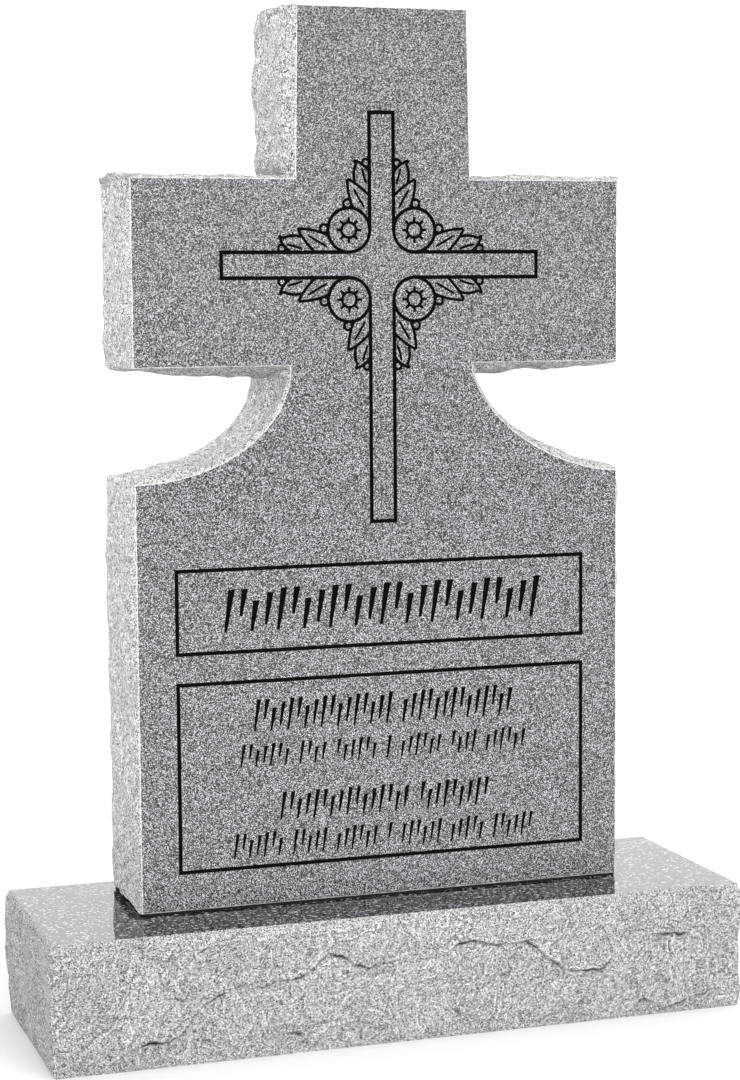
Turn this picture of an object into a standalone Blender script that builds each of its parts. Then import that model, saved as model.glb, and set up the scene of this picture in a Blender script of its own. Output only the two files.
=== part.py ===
"""Cross headstone: an engraved granite cross tablet standing on a rock-pitched granite base.

Metres, +Z up, the polished front faces -Y, the origin is under the middle of the base.
Both stones have polished faces inside a straight arris, and sides pitched to a rough bulge.
"""

import math

import bmesh
import bpy
from mathutils import Vector, noise
from mathutils.geometry import delaunay_2d_cdt

# Tablet, from its foot upwards
TABLET_WIDTH = 0.6096
TABLET_THICKNESS = 0.1524
BODY_HEIGHT = 0.5120
NOTCH_HEIGHT = 0.1348
ARM_HEIGHT = 0.2195
POST_HEIGHT = 0.2005
NECK_WIDTH = 0.2290
POST_FOOT_WIDTH = 0.2188
POST_TOP_WIDTH = 0.2118
POST_SHIFT = 0.0030
TABLET_ARRIS = 0.0018
BODY_BULGE = 0.0110
NOTCH_BULGE = 0.0165
ARM_END_BULGE = 0.0090
POST_LEFT_BULGE = 0.0170
POST_RIGHT_BULGE = 0.0090
TOP_BULGE = 0.0025
NOTCH_END_SHARE = 0.20

# How round the curve of a notch is: 2 makes it an ellipse, and 1 would make it a straight slope
LEFT_NOTCH_ROUNDNESS = 2.0
RIGHT_NOTCH_ROUNDNESS = 1.72

# Base, measured at its arris, and the tablet's place on it
BASE_LENGTH = 0.8590
BASE_DEPTH = 0.2780
BASE_HEIGHT = 0.1555
BASE_ARRIS = 0.0020
BASE_FRONT_BULGE = 0.0120
BASE_END_BULGE = 0.0080
FRONT_MARGIN = 0.0898
JOINT_GAP = 0.0003

# Rock pitching: size of the facets, how fast the bulge leaves the arris, and the grain of its waves
FACET = 0.0280
EDGE_FACET = 0.0140
BULGE_RUN = 0.0300
WAVE_LENGTH = 0.0620
WAVE_SHIFT = Vector((-1.78, -2.44, 0.96))
WAVE_MIDDLE = 0.50
BROAD_WAVE = 0.75
NARROW_WAVE = 0.35
NARROW_WAVES_PER_BROAD = 2.3
SMOOTH_SHARE = 0.35
NOTCH_FACETS = 11
MIDDLE_BANDS = 3

# Engraving
ENGRAVING_DEPTH = 0.0025
LINE_WIDTH = 0.0040
LEAF_LINE_WIDTH = 0.0030
VEIN_WIDTH = 0.0024
VEIN_END_SHARE = 0.35
CROSS_BAR_WIDTH = 0.0300
CROSS_SIDE_MARGIN = 0.1073
CROSS_TOP_MARGIN = 0.1228
CROSS_FOOT_BELOW_SHOULDER = 0.0530
CROSSING_ABOVE_ARM_MIDDLE = 0.0085

# Rosettes in the corners of the cross
ROSETTE_RADIUS = 0.0260
ROSETTE_LINE_WIDTH = 0.0036
EYE_RADIUS = 0.0090
EYE_LINE_WIDTH = 0.0028
RAY_COUNT = 8
RAY_TIP_RADIUS = 0.0155
RAY_WIDTH = 0.0034
RAY_TIP_WIDTH = 0.0022
BERRY_RADIUS = 0.0050
TIP_BERRY_RADIUS = 0.0044
BERRY_LINE_WIDTH = 0.0028

# Leaf sprays, in rosette radii: first along the bar, then away from it, from the corner of the cross
POST_SPRAY_REACH = 0.95
BERRY_SLANT = math.radians(3.0)
TIP_BERRY_PLACE = (4.19, 0.17)
INNER_LEAF_BACK = ((2.00, 0.77), (2.60, 1.05), (3.42, 1.06))
INNER_LEAF_FRONT = ((3.42, 1.06), (3.25, 0.62), (2.62, 0.00))
INNER_LEAF_VEIN = ((2.96, 0.77), (2.45, 0.46), (2.04, 0.25))
OUTER_LEAF_BACK = ((3.28, 0.70), (3.72, 0.82), (4.16, 0.62))
OUTER_LEAF_FRONT = ((4.31, 0.76), (4.18, 0.25), (3.77, 0.03))
OUTER_LEAF_VEIN = ((3.96, 0.35), (3.50, 0.27), (3.19, 0.13))
LEAF_SEGMENTS = 3
ROSETTE_SEGMENTS = 20
EYE_SEGMENTS = 12
BERRY_SEGMENTS = 8

# Framed panels on the body
PANEL_SIDE_MARGIN = 0.0478
PANEL_TOP_MARGIN = 0.1035
PANEL_GAP = 0.0365
PANEL_FOOT_MARGIN = 0.0490
UPPER_PANEL_HEIGHT = 0.0985

# Rows of slanting tapered strokes: side inset, height, stroke width, pitch and lengths of the words
UPPER_ROW = (0.0560, 0.0506, 0.0082, 0.0162, (8,))
LOWER_ROWS = (
    (0.0640, 0.0297, 0.0044, 0.0092, (4, 3, 4, 1, 4, 3, 4)),
    (0.1200, 0.0339, 0.0052, 0.0104, (5, 3)),
    (0.0710, 0.0275, 0.0044, 0.0092, (4, 3, 4, 1, 4, 3, 4)),
    (0.0910, 0.0381, 0.0054, 0.0104, (6, 5)),
)
LOWER_ROW_SPACES = (1.2, 1.4, 3.4, 1.6, 2.3)
STROKE_LEAN = math.tan(math.radians(9.0))
STROKE_FOOT_SHARE = 0.45
STROKE_RHYTHM = ((0.0, 1.0), (0.36, 1.0), (0.0, 0.72), (0.14, 0.90))

# Derived sizes
TABLET_HEIGHT = BODY_HEIGHT + NOTCH_HEIGHT + ARM_HEIGHT + POST_HEIGHT
ARM_BOTTOM = BODY_HEIGHT + NOTCH_HEIGHT
ARM_TOP = ARM_BOTTOM + ARM_HEIGHT
CROSSING = ARM_BOTTOM + ARM_HEIGHT / 2 + CROSSING_ABOVE_ARM_MIDDLE
HALF_BAR = CROSS_BAR_WIDTH / 2

# Neighbouring points closer than this are one point
MERGE_DISTANCE = 0.00002

PITCHED_COLOUR = (0.58, 0.58, 0.58)
POLISHED_COLOUR = (0.29, 0.285, 0.305)
BASE_TOP_COLOUR = (0.34, 0.34, 0.345)
PAINT_COLOUR = (0.012, 0.012, 0.013)
PITCHED_ROUGHNESS = 0.85
POLISHED_ROUGHNESS = 0.15
PAINT_ROUGHNESS = 0.60

# The finishes of a stone, in the order of its materials
FINISHES = ("polished", "pitched", "paint")


def clear_scene():
    for item in list(bpy.data.objects):
        bpy.data.objects.remove(item)


def stone_material(name, colour, roughness):
    material = bpy.data.materials.new(name)
    material.use_nodes = True
    material.diffuse_color = (*colour, 1.0)
    shader = material.node_tree.nodes["Principled BSDF"]
    shader.inputs["Base Color"].default_value = (*colour, 1.0)
    shader.inputs["Roughness"].default_value = roughness
    shader.inputs["Metallic"].default_value = 0.0
    return material


def mitre(first, second):
    """The offset of a corner whose two sides each move by one unit along their normals."""
    return (first + second) / (1.0 + first.dot(second))


def side_normals(outline):
    """The outward normal of each side of a counter-clockwise outline."""
    normals = []
    for start, end in zip(outline, outline[1:] + outline[:1]):
        run = (end - start).normalized()
        normals.append(Vector((run.y, -run.x)))
    return normals


def inset_offsets(outline):
    """The mitred outward offset of each corner, for one unit on every side."""
    normals = side_normals(outline)
    return [mitre(normals[index - 1], normals[index]) for index in range(len(outline))]


def bulge_offsets(outline, bulges):
    """The outward offset of each corner between two sides that bulge by their own amounts."""
    normals = side_normals(outline)
    offsets = []
    for index, (after, bulge_after) in enumerate(zip(normals, bulges)):
        before = normals[index - 1]
        bulge_before = bulges[index - 1]
        if bulge_before == bulge_after:
            offsets.append(mitre(before, after) * bulge_after)
            continue
        slant = before.dot(after)
        share_before = (bulge_before - bulge_after * slant) / (1.0 - slant * slant)
        share_after = (bulge_after - bulge_before * slant) / (1.0 - slant * slant)
        offsets.append(before * share_before + after * share_after)
    return offsets


def split_run(start, end):
    """Points from start up to, but without, end, a facet apart."""
    count = max(1, round((end - start).length / FACET))
    return [start.lerp(end, index / count) for index in range(count)]


def roughness_at(point):
    """Waves of the pitched stone at a point, between about 0 and 1."""
    place = (point + WAVE_SHIFT) / WAVE_LENGTH
    broad = BROAD_WAVE * noise.noise(place)
    narrow = NARROW_WAVE * noise.noise(place * NARROW_WAVES_PER_BROAD)
    return min(1.0, max(0.0, WAVE_MIDDLE + broad + narrow))


def bulge_share(point, distance):
    """How much of its full bulge a pitched side has, at a distance from the nearest arris."""
    run = min(1.0, distance / BULGE_RUN)
    rise = 1.0 - (1.0 - run) ** 2
    return rise * (SMOOTH_SHARE + (1.0 - SMOOTH_SHARE) * roughness_at(point))


def fullness(point):
    """The share of its bulge that a side keeps: in a notch it fades from the neck to the outer end."""
    if point.y < BODY_HEIGHT - MERGE_DISTANCE or point.y > ARM_BOTTOM + MERGE_DISTANCE:
        return 1.0
    inward = (TABLET_WIDTH / 2 - abs(point.x)) / ((TABLET_WIDTH - NECK_WIDTH) / 2)
    return NOTCH_END_SHARE + (1.0 - NOTCH_END_SHARE) * math.sqrt(max(0.0, inward))


def notch_curve(half_width, half_neck, roundness):
    """A quarter of a rounded outline from the shoulder up to the neck, without its last point."""
    points = []
    for index in range(NOTCH_FACETS):
        turn = math.pi / 2 * index / NOTCH_FACETS
        inward = math.sin(turn) ** (2.0 / roundness)
        downward = math.cos(turn) ** (2.0 / roundness)
        across = half_width - (half_width - half_neck) * inward
        points.append(Vector((across, ARM_BOTTOM - NOTCH_HEIGHT * downward)))
    return points


def half_outline(post_bulge, post_shift, notch_roundness):
    """The right half of the front from its foot to its top, and the bulge of the side after each point.

    post_shift is how much farther out than the middle of the stone the post stands on this half.
    """
    half_width = TABLET_WIDTH / 2
    half_neck = NECK_WIDTH / 2
    shoulder = Vector((half_width, BODY_HEIGHT))
    neck = Vector((half_neck, ARM_BOTTOM))
    arm_low = Vector((half_width, ARM_BOTTOM))
    arm_high = Vector((half_width, ARM_TOP))
    post_foot = Vector((POST_FOOT_WIDTH / 2 + post_shift, ARM_TOP))
    post_top = Vector((POST_TOP_WIDTH / 2 + post_shift, TABLET_HEIGHT))
    runs = (
        (split_run(Vector((half_width, 0.0)), shoulder), BODY_BULGE),
        (notch_curve(half_width, half_neck, notch_roundness), NOTCH_BULGE),
        (split_run(neck, arm_low), NOTCH_BULGE),
        (split_run(arm_low, arm_high), ARM_END_BULGE),
        (split_run(arm_high, post_foot), TOP_BULGE),
        (split_run(post_foot, post_top), post_bulge),
    )
    points = [point for run, _ in runs for point in run]
    bulges = [bulge for run, bulge in runs for _ in run]
    return points + [post_top], bulges


def tablet_outline():
    """The outline of the front, counter-clockwise from the right end of its foot, and its bulges."""
    right, right_bulges = half_outline(POST_RIGHT_BULGE, POST_SHIFT, RIGHT_NOTCH_ROUNDNESS)
    left, left_bulges = half_outline(POST_LEFT_BULGE, -POST_SHIFT, LEFT_NOTCH_ROUNDNESS)
    left = [Vector((-point.x, point.y)) for point in reversed(left)]
    top = split_run(right[-1], left[0])[1:]
    foot_bulge = 0.0
    bulges = right_bulges + [TOP_BULGE] * (len(top) + 1) + left_bulges[::-1] + [foot_bulge]
    return right + top + left, bulges


def base_outline():
    """The base's arris seen from above, counter-clockwise from its front left corner."""
    half_length = BASE_LENGTH / 2
    half_depth = BASE_DEPTH / 2
    corners = [Vector((x * half_length, y * half_depth)) for x, y in ((-1, -1), (1, -1), (1, 1), (-1, 1))]
    outline = []
    for start, end in zip(corners, corners[1:] + corners[:1]):
        outline += split_run(start, end)
    return outline


def ribbon(path, width, end_share=1.0):
    """The outline of a stroke along a path, narrower at its two ends."""
    points = [Vector(point) for point in path]
    normals = []
    for start, end in zip(points, points[1:]):
        run = (end - start).normalized()
        normals.append(Vector((-run.y, run.x)))
    left = []
    right = []
    for index, point in enumerate(points):
        offset = mitre(normals[max(index - 1, 0)], normals[min(index, len(normals) - 1)]) * width / 2
        if index in (0, len(points) - 1):
            offset = offset * end_share
        left.append(point + offset)
        right.append(point - offset)
    return left + right[::-1]


def arc(centre, radius, start, end, segments):
    angles = [start + (end - start) * index / segments for index in range(segments + 1)]
    return [Vector(centre) + radius * Vector((math.cos(angle), math.sin(angle))) for angle in angles]


def ring(centre, radius, width, segments):
    """A round line as two half rings."""
    halves = ((0.0, math.pi), (math.pi, 2 * math.pi))
    return [ribbon(arc(centre, radius, start, end, segments // 2), width) for start, end in halves]


def bend(start, pull, end):
    """Points of a curve from start to end that is pulled towards a third point."""
    points = []
    for index in range(LEAF_SEGMENTS + 1):
        share = index / LEAF_SEGMENTS
        nearer = Vector(start).lerp(Vector(pull), share)
        points.append(nearer.lerp(Vector(pull).lerp(Vector(end), share), share))
    return points


def cross_lines():
    """The four ends of the cross, each an open line that runs from one rosette to the next."""
    clear = HALF_BAR + ROSETTE_RADIUS
    reach = TABLET_WIDTH / 2 - CROSS_SIDE_MARGIN
    top = TABLET_HEIGHT - CROSS_TOP_MARGIN
    foot = BODY_HEIGHT - CROSS_FOOT_BELOW_SHOULDER
    lines = []
    for end, turn in ((top, 1), (foot, -1)):
        start = CROSSING + turn * clear
        lines.append([(-HALF_BAR, start), (-HALF_BAR, end), (HALF_BAR, end), (HALF_BAR, start)])
    low = CROSSING - HALF_BAR
    high = CROSSING + HALF_BAR
    for turn in (-1, 1):
        lines.append([(turn * clear, low), (turn * reach, low), (turn * reach, high), (turn * clear, high)])
    return [ribbon(line, LINE_WIDTH) for line in lines]


def rosette(centre):
    strokes = ring(centre, ROSETTE_RADIUS, ROSETTE_LINE_WIDTH, ROSETTE_SEGMENTS)
    strokes += ring(centre, EYE_RADIUS, EYE_LINE_WIDTH, EYE_SEGMENTS)
    for index in range(RAY_COUNT):
        angle = 2 * math.pi * index / RAY_COUNT
        outward = Vector((math.cos(angle), math.sin(angle)))
        across = Vector((-outward.y, outward.x)) / 2
        root = centre + outward * EYE_RADIUS
        tip = centre + outward * RAY_TIP_RADIUS
        wide = across * RAY_WIDTH
        narrow = across * RAY_TIP_WIDTH
        strokes.append([root - wide, tip - narrow, tip + narrow, root + wide])
    return strokes


def leaf_spray(turned, reach):
    """Two leaves and two berries along one side of a bar, with a share of their reach beyond the rosette."""
    def place(point):
        return turned((1.0 + (point[0] - 1.0) * reach, point[1]))

    outer_edges = (INNER_LEAF_BACK, INNER_LEAF_FRONT, OUTER_LEAF_BACK, OUTER_LEAF_FRONT)
    strokes = [ribbon([place(point) for point in bend(*edge)], LEAF_LINE_WIDTH) for edge in outer_edges]
    strokes.append(ribbon([place(OUTER_LEAF_BACK[-1]), place(OUTER_LEAF_FRONT[0])], LEAF_LINE_WIDTH))
    for vein in (INNER_LEAF_VEIN, OUTER_LEAF_VEIN):
        strokes.append(ribbon([place(point) for point in bend(*vein)], VEIN_WIDTH, VEIN_END_SHARE))
    berry_reach = 1.0 + BERRY_RADIUS / ROSETTE_RADIUS
    berry = (1.0 + berry_reach * math.cos(BERRY_SLANT), 1.0 + berry_reach * math.sin(BERRY_SLANT))
    strokes += ring(turned(berry), BERRY_RADIUS, BERRY_LINE_WIDTH, BERRY_SEGMENTS)
    strokes += ring(place(TIP_BERRY_PLACE), TIP_BERRY_RADIUS, BERRY_LINE_WIDTH, BERRY_SEGMENTS)
    return strokes


def corner_ornament(side, rise):
    """A rosette in one corner of the cross, with a spray along each of the two bars."""
    corner = Vector((side * HALF_BAR, CROSSING + rise * HALF_BAR))

    def along_bar(point):
        return corner + ROSETTE_RADIUS * Vector((side * point[0], rise * point[1]))

    def along_post(point):
        return corner + ROSETTE_RADIUS * Vector((side * point[1], rise * point[0]))

    sprays = leaf_spray(along_bar, 1.0) + leaf_spray(along_post, POST_SPRAY_REACH)
    return rosette(along_bar((1.0, 1.0))) + sprays


def frame_line(half_width, bottom, top):
    """A rectangle of line, as two halves that meet in the middle."""
    halves = []
    for side in (-1, 1):
        path = [(0.0, bottom), (side * half_width, bottom), (side * half_width, top), (0.0, top)]
        halves.append(ribbon(path, LINE_WIDTH))
    return halves


def stroke_row(half_width, bottom, height, stroke_width, pitch, words):
    """Slanting tapered strokes in groups, centred, with a blank place between two groups."""
    places = int((2 * half_width - stroke_width) / pitch) + 1
    blanks = {round(places * sum(words[:count]) / sum(words)) for count in range(1, len(words))}
    strokes = []
    for index in range(places):
        if index in blanks:
            continue
        low, high = STROKE_RHYTHM[index % len(STROKE_RHYTHM)]
        middle = (index - (places - 1) / 2) * pitch
        foot = Vector((middle + (low - 0.5) * height * STROKE_LEAN, bottom + low * height))
        head = Vector((middle + (high - 0.5) * height * STROKE_LEAN, bottom + high * height))
        half = Vector((stroke_width / 2, 0.0))
        narrow = half * STROKE_FOOT_SHARE
        strokes.append([foot - narrow, foot + narrow, head + half, head - half])
    return strokes


def panels():
    """Two framed panels on the body, filled with rows of strokes."""
    half_width = TABLET_WIDTH / 2 - PANEL_SIDE_MARGIN
    upper_top = BODY_HEIGHT - PANEL_TOP_MARGIN
    upper_bottom = upper_top - UPPER_PANEL_HEIGHT
    lower_top = upper_bottom - PANEL_GAP
    strokes = frame_line(half_width, upper_bottom, upper_top)
    strokes += frame_line(half_width, PANEL_FOOT_MARGIN, lower_top)
    inset, height, *rest = UPPER_ROW
    bottom = (upper_bottom + upper_top - height) / 2
    strokes += stroke_row(half_width - inset, bottom, height, *rest)
    free_height = lower_top - PANEL_FOOT_MARGIN - sum(row[1] for row in LOWER_ROWS)
    space = free_height / sum(LOWER_ROW_SPACES)
    bottom = PANEL_FOOT_MARGIN
    for gap, (inset, height, *rest) in zip(LOWER_ROW_SPACES, LOWER_ROWS):
        bottom += gap * space
        strokes += stroke_row(half_width - inset, bottom, height, *rest)
        bottom += height
    return strokes


def engraving():
    strokes = cross_lines() + panels()
    for side in (-1, 1):
        for rise in (-1, 1):
            strokes += corner_ornament(side, rise)
    return strokes


def counter_clockwise(polygon):
    doubled_area = sum(start.cross(end) for start, end in zip(polygon, polygon[1:] + polygon[:1]))
    return polygon if doubled_area > 0 else polygon[::-1]


def add_cap(mesh, loop, flatten, lift, strokes=()):
    """Closes a flat loop of vertices with triangles, and sinks the strokes into it with upright walls.

    flatten turns a vertex's place into a flat point, and lift turns a flat point and a depth back.
    """
    points = []
    polygons = []
    for polygon in [[flatten(vertex.co) for vertex in loop]] + [counter_clockwise(item) for item in strokes]:
        polygons.append(list(range(len(points), len(points) + len(polygon))))
        points += polygon
    places, _, triangles, sources, _, covers = delaunay_2d_cdt(points, [], polygons, 0, MERGE_DISTANCE)
    surface = [next((loop[index] for index in origin if index < len(loop)), None) for origin in sources]
    floor = [None] * len(places)

    def vertex_at(index, sunk):
        level = floor if sunk else surface
        if level[index] is None:
            level[index] = mesh.verts.new(lift(places[index], ENGRAVING_DEPTH if sunk else 0.0))
        return level[index]

    levels = {}
    for triangle, cover in zip(triangles, covers):
        if 0 not in cover:
            continue
        sunk = len(cover) > 1
        face = mesh.faces.new([vertex_at(index, sunk) for index in triangle])
        face.material_index = FINISHES.index("paint" if sunk else "polished")
        for edge in zip(triangle, triangle[1:] + triangle[:1]):
            levels[edge] = sunk
    for (start, end), sunk in levels.items():
        if sunk and levels.get((end, start)) is False:
            wall = ((start, True), (end, True), (end, False), (start, False))
            face = mesh.faces.new([vertex_at(index, deep) for index, deep in wall][::-1])
            face.material_index = FINISHES.index("paint")


def add_band(mesh, lower, upper):
    """Joins two loops with the same number of vertices by triangles that alternate in slant."""
    count = len(lower)
    for index in range(count):
        after = (index + 1) % count
        corners = (lower[index], lower[after], upper[after], upper[index])
        first, second = ((0, 1, 2), (0, 2, 3)) if index % 2 else ((0, 1, 3), (1, 2, 3))
        for triangle in (first, second):
            face = mesh.faces.new([corners[corner] for corner in triangle])
            face.material_index = FINISHES.index("pitched")


def build_object(name, mesh, materials, location):
    bmesh.ops.recalc_face_normals(mesh, faces=mesh.faces)
    data = bpy.data.meshes.new(name)
    mesh.to_mesh(data)
    mesh.free()
    for material in materials:
        data.materials.append(material)
    item = bpy.data.objects.new(name, data)
    item.location = location
    bpy.context.scene.collection.objects.link(item)
    return item


def pitched_levels(width):
    """Distances across a pitched side, from one arris to the other."""
    middle = width - 2 * EDGE_FACET
    return [0.0] + [EDGE_FACET + middle * index / MIDDLE_BANDS for index in range(MIDDLE_BANDS + 1)] + [width]


def build_tablet(paint):
    outline, bulges = tablet_outline()
    insets = inset_offsets(outline)
    offsets = bulge_offsets(outline, bulges)
    mesh = bmesh.new()

    def inset_loop(depth):
        inset = [point - offset * TABLET_ARRIS for point, offset in zip(outline, insets)]
        return [mesh.verts.new((point.x, depth, point.y)) for point in inset]

    def bulged_loop(depth, from_arris):
        loop = []
        for point, offset in zip(outline, offsets):
            share = fullness(point) * bulge_share(Vector((point.x, depth, point.y)), from_arris)
            moved = point + offset * share
            loop.append(mesh.verts.new((moved.x, depth, moved.y)))
        return loop

    def flatten(place):
        return Vector((place.x, place.z))

    rough_depth = TABLET_THICKNESS - 2 * TABLET_ARRIS
    loops = [inset_loop(0.0)]
    for level in pitched_levels(rough_depth):
        loops.append(bulged_loop(TABLET_ARRIS + level, min(level, rough_depth - level)))
    loops.append(inset_loop(TABLET_THICKNESS))
    for front, back in zip(loops, loops[1:]):
        add_band(mesh, front, back)
    add_cap(mesh, loops[0], flatten, lambda point, depth: (point.x, depth, point.y), engraving())
    add_cap(mesh, loops[-1], flatten, lambda point, depth: (point.x, TABLET_THICKNESS, point.y))
    polished = stone_material("tablet polished granite", POLISHED_COLOUR, POLISHED_ROUGHNESS)
    pitched = stone_material("tablet pitched granite", PITCHED_COLOUR, PITCHED_ROUGHNESS)
    place = (0.0, FRONT_MARGIN - BASE_DEPTH / 2, BASE_HEIGHT + JOINT_GAP)
    return build_object("tablet", mesh, (polished, pitched, paint), place)


def fullest(levels, offsets, axis, side):
    """The largest share of bulge on one side of the base."""
    return max(share for level in levels for share, offset in zip(level, offsets) if offset[axis] * side > 0)


def build_base():
    outline = base_outline()
    offsets = inset_offsets(outline)
    mesh = bmesh.new()
    rough_height = BASE_HEIGHT - BASE_ARRIS
    heights = pitched_levels(rough_height)
    levels = []
    for height in heights:
        from_arris = min(height, rough_height - height)
        levels.append([bulge_share(Vector((*point, height)), from_arris) for point in outline])
    ends = {side: BASE_END_BULGE / fullest(levels, offsets, 0, side) for side in (-1, 1)}
    faces = {side: BASE_FRONT_BULGE / fullest(levels, offsets, 1, side) for side in (-1, 1)}
    loops = []
    for height, level in zip(heights, levels):
        loop = []
        for point, offset, share in zip(outline, offsets, level):
            across = offset.x * share * ends[math.copysign(1, offset.x)]
            forward = offset.y * share * faces[math.copysign(1, offset.y)]
            loop.append(mesh.verts.new((point.x + across, point.y + forward, height)))
        loops.append(loop)
    inset = [point - offset * BASE_ARRIS for point, offset in zip(outline, offsets)]
    loops.append([mesh.verts.new((*point, BASE_HEIGHT)) for point in inset])
    for lower, upper in zip(loops, loops[1:]):
        add_band(mesh, lower, upper)
    for loop, height in ((loops[0], 0.0), (loops[-1], BASE_HEIGHT)):
        add_cap(mesh, loop, lambda place: place.xy, lambda point, depth, height=height: (*point, height))
    polished = stone_material("base polished granite", BASE_TOP_COLOUR, POLISHED_ROUGHNESS)
    pitched = stone_material("base pitched granite", PITCHED_COLOUR, PITCHED_ROUGHNESS)
    return build_object("base", mesh, (polished, pitched), (0.0, 0.0, 0.0))


clear_scene()
build_base()
build_tablet(stone_material("black engraving paint", PAINT_COLOUR, PAINT_ROUGHNESS))
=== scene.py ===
"""Dresses the cross headstone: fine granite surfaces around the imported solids, floor, light and camera.

Metres, +Z up, the polished front faces -Y. The outline, the bulges and the engraving repeat the solids'
sizes, with closer points, so that each piece keeps the form of the solid it stands for.
"""

import math

import bmesh
import bpy
import numpy as np
from mathutils import Matrix, Vector, noise
from mathutils.geometry import delaunay_2d_cdt


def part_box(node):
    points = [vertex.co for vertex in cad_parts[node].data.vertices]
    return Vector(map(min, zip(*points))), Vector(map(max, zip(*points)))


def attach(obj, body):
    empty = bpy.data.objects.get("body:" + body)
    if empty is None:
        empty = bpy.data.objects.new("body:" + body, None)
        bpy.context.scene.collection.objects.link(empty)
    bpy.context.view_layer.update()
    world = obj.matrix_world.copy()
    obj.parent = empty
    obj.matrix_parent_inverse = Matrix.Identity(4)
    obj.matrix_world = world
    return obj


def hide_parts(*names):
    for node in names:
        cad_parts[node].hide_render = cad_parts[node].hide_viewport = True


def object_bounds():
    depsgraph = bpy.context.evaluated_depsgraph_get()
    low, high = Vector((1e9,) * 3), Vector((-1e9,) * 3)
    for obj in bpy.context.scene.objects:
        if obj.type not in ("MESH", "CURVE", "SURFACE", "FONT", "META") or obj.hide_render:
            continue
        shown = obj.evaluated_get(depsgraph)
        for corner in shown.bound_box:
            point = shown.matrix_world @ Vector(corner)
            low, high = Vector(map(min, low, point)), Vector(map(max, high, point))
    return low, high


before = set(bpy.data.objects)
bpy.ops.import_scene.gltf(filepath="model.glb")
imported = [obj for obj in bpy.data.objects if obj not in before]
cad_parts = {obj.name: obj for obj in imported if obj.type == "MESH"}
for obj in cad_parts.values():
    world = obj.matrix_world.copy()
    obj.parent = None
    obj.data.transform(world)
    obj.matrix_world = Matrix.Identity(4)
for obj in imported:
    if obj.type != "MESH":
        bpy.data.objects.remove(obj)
cad_low, cad_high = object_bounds()
tablet_low, tablet_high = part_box("tablet")
base_low, base_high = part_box("base")

# Tablet, from its foot upwards
TABLET_WIDTH = 0.6096
TABLET_THICKNESS = tablet_high.y - tablet_low.y
BODY_HEIGHT = 0.5120
NOTCH_HEIGHT = 0.1348
ARM_HEIGHT = 0.2195
POST_HEIGHT = 0.2005
NECK_WIDTH = 0.2290
POST_FOOT_WIDTH = 0.2188
POST_TOP_WIDTH = 0.2118
POST_SHIFT = 0.0030
BODY_BULGE = 0.0110
NOTCH_BULGE = 0.0165
ARM_END_BULGE = 0.0090
POST_LEFT_BULGE = 0.0170
POST_RIGHT_BULGE = 0.0090
TOP_BULGE = 0.0022
NOTCH_END_SHARE = 0.20

# How round the curve of a notch is: 2 makes it an ellipse, and 1 would make it a straight slope
LEFT_NOTCH_ROUNDNESS = 2.0
RIGHT_NOTCH_ROUNDNESS = 1.72

# Base, measured at its arris
BASE_LENGTH = 0.8590
BASE_DEPTH = 0.2780
BASE_HEIGHT = base_high.z
BASE_BULGE_LIMIT = 0.0003
BASE_LEFT_LIFT = 0.0030

# Rock pitching that both stones share with the solids
BULGE_RUN = 0.0300
CORNER_REACH = 0.0280
WAVE_LENGTH = 0.0620
WAVE_SHIFT = Vector((-1.78, -2.44, 0.96))
WAVE_MIDDLE = 0.50
BROAD_WAVE = 0.75
NARROW_WAVE = 0.35
NARROW_WAVES_PER_BROAD = 2.3
SMOOTH_SHARE = 0.35

# Fine pitching: facets are tilted planes with steep ramps between them, chips are small hollows that meet in
# ridges, steps are breaks between two levels of the stone
TABLET_GRID = 0.0036
FOOT_GRID = 0.0200
BASE_GRID = 0.0020
TABLET_FACETS = ((0.046, 0.0042), (0.020, 0.0024), (0.009, 0.0010))
BASE_FACETS = ((0.046, 0.0060), (0.020, 0.0026), (0.009, 0.0009))
FACET_EDGE = 0.16
FACET_LIFT = 0.45
FACET_SPREAD = 5.3
CHIP_SIZE = 0.0065
CHIP_DEPTH = 0.0004
STEP_WAVE = 0.075
STEP_COUNT = 3.4
STEP_EDGE = 0.12
TABLET_STEP = 0.0018
BASE_STEP = 0.0045
RELIEF_RUN = 0.0090

# Form of the left sides beyond their bulge: height above the foot, and how far out the stone stands
LEFT_FORM = (
    (0.000, -0.0040), (0.060, -0.0060), (0.100, -0.0050), (0.150, -0.0025), (0.210, -0.0070), (0.290, -0.0010),
    (0.370, 0.0010), (0.400, -0.0035), (0.425, -0.0020), (0.455, -0.0050), (0.500, 0.0000), (0.670, 0.0000),
    (0.720, -0.0010), (0.820, -0.0010), (0.845, -0.0050), (0.866, -0.0050), (0.880, 0.0020), (0.889, 0.0030),
    (0.903, -0.0030), (0.917, -0.0045), (0.931, -0.0020), (0.945, -0.0005), (0.960, 0.0040), (0.974, 0.0065),
    (0.988, 0.0065), (1.002, 0.0050), (1.016, 0.0010), (1.040, 0.0000),
)
# The same for the walls of the notches: distance from the tablet's middle, and how far out the stone stands
LEFT_NOTCH_FORM = (
    (0.115, -0.0040), (0.150, -0.0070), (0.200, -0.0080), (0.235, -0.0010), (0.260, 0.0030), (0.300, 0.0000),
)
RIGHT_NOTCH_FORM = (
    (0.170, 0.0000), (0.195, 0.0030), (0.210, 0.0050), (0.240, 0.0040), (0.262, 0.0000),
)
ARM_TOP_LIFT = 0.0035
FORM_RUN = 0.0250

# The inner ends of the notches are rounded: how many points on either side, and how many times they are evened
ROUND_POINTS = 14
ROUND_TIMES = 60

# Arris: the thin broken edge between a polished face and a pitched side
ARRIS = 0.0011
ARRIS_UNEVENNESS = 0.0006
ARRIS_WAVE = 0.0070

# Bed of nearly black setting compound between the stones: a real joint, made thick enough to stand in for the shadow at
# the tablet's foot too, so partly painted shadow
BED_HEIGHT = 0.0028
BED_INSET = 0.0015

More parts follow.
